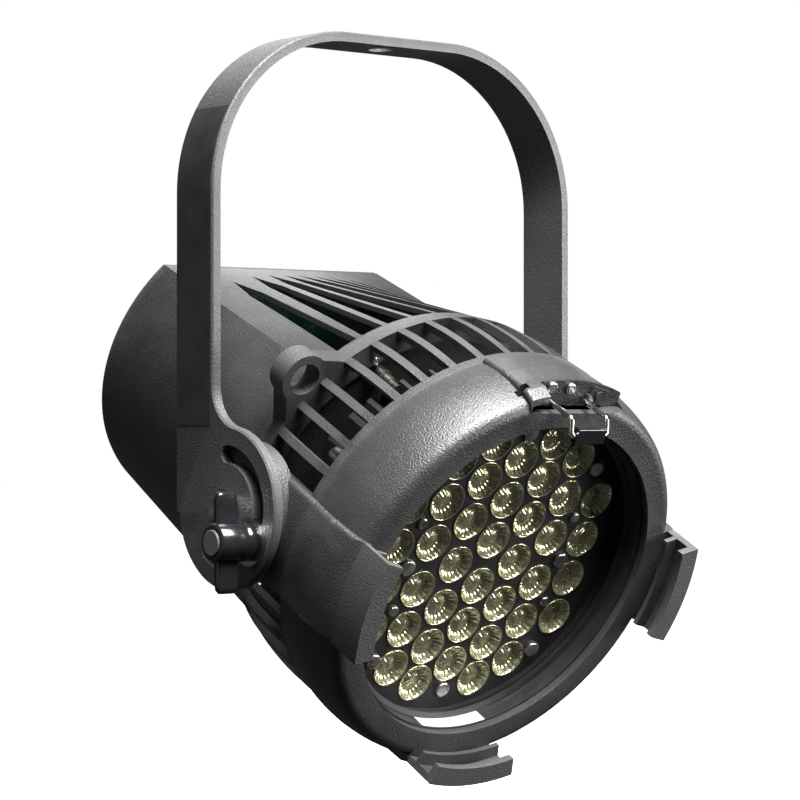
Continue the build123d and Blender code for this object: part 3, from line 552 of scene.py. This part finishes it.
def cell_ring(bm, cell, top, turned, sizes, share, fall, flute, pillow):
    """One ring of a cell, with its part of the flutes and of the pillowed middle."""
    loop = []
    steps = sizes.flutes * STEPS_PER_FLUTE
    for k in range(steps):
        turn = tau * k / steps + turned
        wave = cos(sizes.flutes * (turn - turned))
        x = CELL_RADIUS * share * cos(turn)
        y = CELL_RADIUS * share * sin(turn)
        cushion = cos(x * PILLOW) * cos(y * PILLOW)
        z = top - fall + sizes.flute_depth * (flute * wave + pillow * cushion)
        loop.append(bm.verts.new(head_point(cell.x + x, cell.y + y, z)))
    return loop


# Camera: its place in metres, its turn about Z in degrees, and the width of its sensor in millimetres
EYE_PLACE = (-0.8493, -1.0465, -0.1801)
EYE_TURN = -39.461
SENSOR = 36.0
FLOOR_HALF = 6.0
WHITE = (1.0, 1.0, 1.0, 1.0)
# Places of the lamps from the middle of the light, in metres
KEY_PLACE = (-0.35, -0.8, 1.25)
SOFTBOX_PLACE = (0.0, -0.75, 1.15)
SIDE_PLACE = (-1.4, 0.3, 0.0)
KICKER_PLACE = (1.0, -1.0, 0.0)
BACK_PLACE = (0.5, 1.2, 0.8)
BOX_SIZE = 0.9
KICKER_SIZE = 0.55
KEY_SPREAD = 30.0
# Power of the back light as a multiple of the fill light's
BACK_SHARE = 5.0


class PARCAN_OT_stage(bpy.types.Operator):
    """Camera, soft lights and the plain floor"""

    bl_idname = "parcan.stage"
    bl_label = "Stage"

    def execute(self, context):
        values = context.scene.parcan_stage
        add_camera(context.scene, values.lens)
        add_floor(context.scene, values.drop)
        context.scene.world = studio_world(values.ambient)
        context.scene.view_settings.view_transform = "Standard"
        add_lamp("key", "SUN", KEY_PLACE, values.key).angle = radians(KEY_SPREAD)
        add_lamp("softbox", "AREA", SOFTBOX_PLACE, values.softbox).size = BOX_SIZE
        add_lamp("side_fill", "AREA", SIDE_PLACE, values.fill).size = BOX_SIZE
        add_lamp("kicker", "AREA", KICKER_PLACE, values.kicker).size = KICKER_SIZE
        add_lamp("back_light", "AREA", BACK_PLACE, values.fill * BACK_SHARE).size = BOX_SIZE
        return {"FINISHED"}


def add_camera(scene, lens):
    """A level camera in front and to the left of the light."""
    camera = bpy.data.cameras.new("camera")
    camera.lens = lens
    camera.sensor_width = SENSOR
    camera.clip_start = 0.05
    camera.clip_end = 50.0
    eye = bpy.data.objects.new("camera", camera)
    eye.location = EYE_PLACE
    eye.rotation_euler = (pi / 2, 0.0, radians(EYE_TURN))
    scene.collection.objects.link(eye)
    scene.camera = eye


def add_floor(scene, drop):
    """A pale floor below the hanging light, which no gloss or bounced light picks up."""
    floor_z = cad_box[0][2] - drop
    corners = [(-1, -1), (1, -1), (1, 1), (-1, 1)]
    floor = bpy.data.meshes.new("floor")
    floor.from_pydata([(x * FLOOR_HALF, y * FLOOR_HALF, floor_z) for x, y in corners], [], [(0, 1, 2, 3)])
    ground = bpy.data.objects.new("floor", floor)
    paper = Shader("pale_floor")
    paper.set(Base_Color=(0.86, 0.86, 0.86), Roughness=paper.spread(paper.noise(6.0), 0.8, 0.9))
    floor.materials.append(paper.material)
    scene.collection.objects.link(ground)
    ground.visible_diffuse = False
    ground.visible_glossy = False


def studio_world(ambient):
    """White behind the light for the camera, and a dim surround for everything that it reflects."""
    world = bpy.data.worlds.new("studio")
    world.use_nodes = True
    tree = world.node_tree
    soft = tree.nodes["Background"]
    soft.inputs["Color"].default_value = WHITE
    soft.inputs["Strength"].default_value = ambient
    paper_white = tree.nodes.new("ShaderNodeBackground")
    paper_white.inputs["Color"].default_value = WHITE
    ray = tree.nodes.new("ShaderNodeLightPath")
    pick = tree.nodes.new("ShaderNodeMixShader")
    tree.links.new(ray.outputs["Is Camera Ray"], pick.inputs["Fac"])
    tree.links.new(soft.outputs["Background"], pick.inputs[1])
    tree.links.new(paper_white.outputs["Background"], pick.inputs[2])
    tree.links.new(pick.outputs["Shader"], tree.nodes["World Output"].inputs["Surface"])
    return world


def add_lamp(name, kind, place, power):
    """A lamp that stands at its place from the middle of the light and faces it."""
    low, high = cad_box
    lamp = bpy.data.lights.new(name, kind)
    lamp.energy = power
    holder = bpy.data.objects.new(name, lamp)
    holder.location = (Vector(low) + Vector(high)) / 2 + Vector(place)
    holder.rotation_euler = (-Vector(place)).to_track_quat("-Z", "Y").to_euler()
    bpy.context.scene.collection.objects.link(holder)
    return lamp


class PARCAN_PT_panel(bpy.types.Panel):
    """Lists the settings and the steps that build the light's looks"""

    bl_label = "Par Can Wash Light"
    bl_idname = "PARCAN_PT_panel"
    bl_space_type = "VIEW_3D"
    bl_region_type = "UI"
    bl_category = "Par Can"

    def draw(self, context):
        for title, group in GROUPS:
            box = self.layout.box()
            box.label(text=title)
            settings = getattr(context.scene, group)
            for key in type(settings).__annotations__:
                box.prop(settings, key)
        for step in STEPS:
            self.layout.operator(step.bl_idname)


GROUPS = (("Finish", "parcan_finish"), ("Sizes", "parcan_sizes"), ("Stage", "parcan_stage"))
SETTINGS = (ParCanFinish, ParCanSizes, ParCanStage)
STEPS = (
    PARCAN_OT_stage,
    PARCAN_OT_finish_castings,
    PARCAN_OT_finish_hardware,
    PARCAN_OT_finish_mouldings,
    PARCAN_OT_lens_cells,
    PARCAN_OT_lock_knob,
)


def register():
    for cls in SETTINGS + STEPS + (PARCAN_PT_panel,):
        bpy.utils.register_class(cls)
    for (_, group), cls in zip(GROUPS, SETTINGS):
        setattr(bpy.types.Scene, group, bpy.props.PointerProperty(type=cls))


def unregister():
    for _, group in GROUPS:
        delattr(bpy.types.Scene, group)
    for cls in reversed(SETTINGS + STEPS + (PARCAN_PT_panel,)):
        bpy.utils.unregister_class(cls)


def main():
    register()
    for step in STEPS:
        family, name = step.bl_idname.split(".")
        getattr(getattr(bpy.ops, family), name)()


if __name__ == "__main__":
    main()
